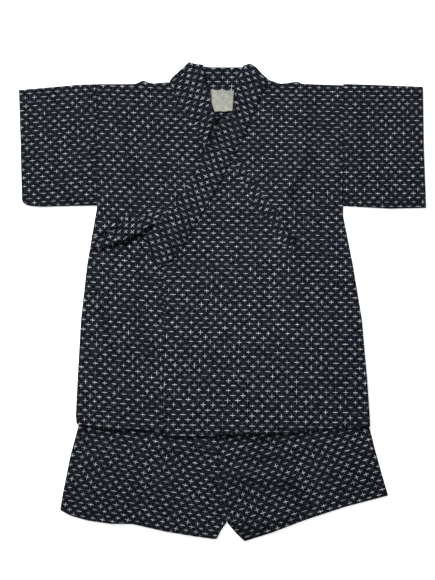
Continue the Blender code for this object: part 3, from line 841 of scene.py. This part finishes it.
def build():
    group = kasuri_group()
    cotton = kasuri_cotton(group)
    cream = label_cloth()
    add_camera()
    add_studio(floor_paint())

    hem_all = {"low": "hem", "left": "seam", "right": "seam", "top": "fold"}
    band = {"low": "seam", "top": "fold"}
    strap = {"low": "fold", "top": "fold"}
    knot = {side: "fold" for side in ("low", "top", "left", "right")}
    waist_right = [(-WAIST_HALF, WAIST_SEAM), (-2.0, WAIST_SEAM)]
    waist_left = [(-2.0, WAIST_SEAM), (WAIST_HALF, WAIST_SEAM)]
    front_edge = [(FREE_EDGE, -200.0), (FREE_EDGE, 49.0)] + COLLAR_SEAM[1:]
    back_collar_right = [(-66.0, 315.5), (-67.0, 335.0), (-48.0, 352.0)]
    back_collar_left = [(60.0, 315.5), (62.0, 332.0), (50.0, 344.0), (40.0, 351.0)]
    over_front = ["jacket_front_right"]
    sheets = [
        ("shorts_back_right",
         Panel(SHORTS_HEM_RIGHT, SHORTS_INNER_RIGHT, waist_right, SHORTS_SIDE_RIGHT, {"low": "hem"}),
         flat, "leg_right", HIDDEN_STEP, []),
        ("shorts_back_left",
         Panel(SHORTS_HEM_LEFT, SHORTS_SIDE_LEFT, waist_left, SHORTS_INNER_LEFT, {"low": "hem"}),
         flat, "leg_left", HIDDEN_STEP, []),
        ("shorts_front_right",
         Panel(SHORTS_HEM_RIGHT, SHORTS_INNER_RIGHT, waist_right, SHORTS_SIDE_RIGHT,
               {"low": "hem", "right": "seam", "left": "fold"}),
         shorts_extra(5.0), "leg_right", MESH_STEP, ["shorts_back_right"]),
        ("shorts_front_left",
         Panel(SHORTS_HEM_LEFT, SHORTS_SIDE_LEFT, waist_left, SHORTS_INNER_LEFT,
               {"low": "hem", "left": "seam", "right": "fold"}),
         shorts_extra(5.0), "leg_left", MESH_STEP, ["shorts_back_left"]),
        ("jacket_back", Panel(HEM_BACK, SIDE_LEFT, BACK_TOP, SIDE_RIGHT),
         flat, "left_front", HIDDEN_STEP, ["shorts_front_left"]),
        ("collar_back",
         Panel(BACK_COLLAR_LOW, back_collar_left, BACK_COLLAR_TOP, back_collar_right, band),
         flat, "collar_back", MESH_STEP, []),
        ("jacket_front_right",
         Panel(HEM_RIGHT_FRONT, [(85.0, -188.5)] + UNDER_SEAM, SHOULDER_RIGHT, SIDE_RIGHT, hem_all),
         jacket_extra(1.0), "right_front", MESH_STEP, ["jacket_back"]),
        ("collar_right", Panel(UNDER_SEAM, UNDER_TOP, UNDER_NECK, UNDER_END, band),
         jacket_extra(1.0), "collar_right", MESH_STEP, over_front),
        ("jacket_front_left",
         Panel(HEM_LEFT_FRONT, SIDE_LEFT, SHOULDER_LEFT, front_edge,
               {"low": "hem", "left": "narrow_hem", "right": "seam", "top": "fold"}),
         jacket_extra(1.0), "left_front", MESH_STEP, over_front),
        ("collar_left", Panel(COLLAR_SEAM, COLLAR_TOP, COLLAR_NECK, COLLAR_END, strap),
         collar_extra, "collar_left", MESH_STEP, over_front),
        ("tie_front", ribbon_panel(TIE_FRONT_LINE, TIE_WIDTH, strap),
         strap_extra, "tie_front", MESH_STEP / 2, over_front),
        ("tie_side", ribbon_panel(TIE_SIDE_LINE, TIE_WIDTH, strap),
         strap_extra, "tie_side", MESH_STEP / 2, over_front),
        ("tie_knot", ribbon_panel(KNOT_LINE, KNOT_WIDTH, knot),
         strap_extra, "tie_knot", MESH_STEP / 2, ["tie_front"]),
        ("label", Panel(LABEL_LOW, LABEL_RIGHT, LABEL_TOP, LABEL_LEFT),
         label_extra, "collar_back", MESH_STEP / 2, ["jacket_back"]),
    ]
    wall = {"collar_right": COLLAR_CLOTH, "collar_left": COLLAR_CLOTH, "collar_back": CLOTH,
            "tie_front": TIE_CLOTH, "tie_side": TIE_CLOTH, "tie_knot": KNOT_CLOTH, "label": LABEL_CLOTH}
    for node, panel, extra, grain, step, under in sheets:
        material = cream if node == "label" else cotton
        piece = sheet_piece(node + "_cloth", panel, SolidTop(node), extra, grain,
                            wall.get(node, CLOTH), material, step)
        size = panel.size()
        declare(piece, node)

    sleeves = [
        ("sleeve_right", Panel(SLEEVE_RIGHT_UNDER, [(ARMHOLE_RIGHT, 142.2), (ARMHOLE_RIGHT, 322.8)],
                               SLEEVE_RIGHT_FOLD, SLEEVE_RIGHT_CUFF, {"left": "hem", "right": "seam"}),
         "sleeve_right"),
        ("sleeve_left", Panel(SLEEVE_LEFT_UNDER, SLEEVE_LEFT_CUFF, SLEEVE_LEFT_FOLD,
                              [(ARMHOLE_LEFT, 141.4), (ARMHOLE_LEFT, 322.6)], {"left": "seam", "right": "hem"}),
         "sleeve_left"),
    ]
    for node, panel, grain in sleeves:
        piece = tube_piece(node + "_cloth", panel, SolidTop(node), lambda x, y: 0.6 * unevenness(x, y, 2.0),
                           grain, CLOTH, cotton)
        width, height = panel.size()
        declare(piece, node)

    low_right, low_left = (-WAIST_HALF, WAIST_SEAM), (WAIST_HALF, WAIST_SEAM)
    top_right, top_left = (-WAIST_HALF, WAIST_TOP), (WAIST_HALF, WAIST_TOP)
    waist = Panel([low_right, low_left], [low_left, top_left], [top_right, top_left], [low_right, top_right])
    piece = sheet_piece("shorts_waistband_cloth", waist, SolidTop("shorts_waistband"), flat, "collar_back",
                        COLLAR_CLOTH, cotton, HIDDEN_STEP)
    declare(piece, "shorts_waistband")


build()
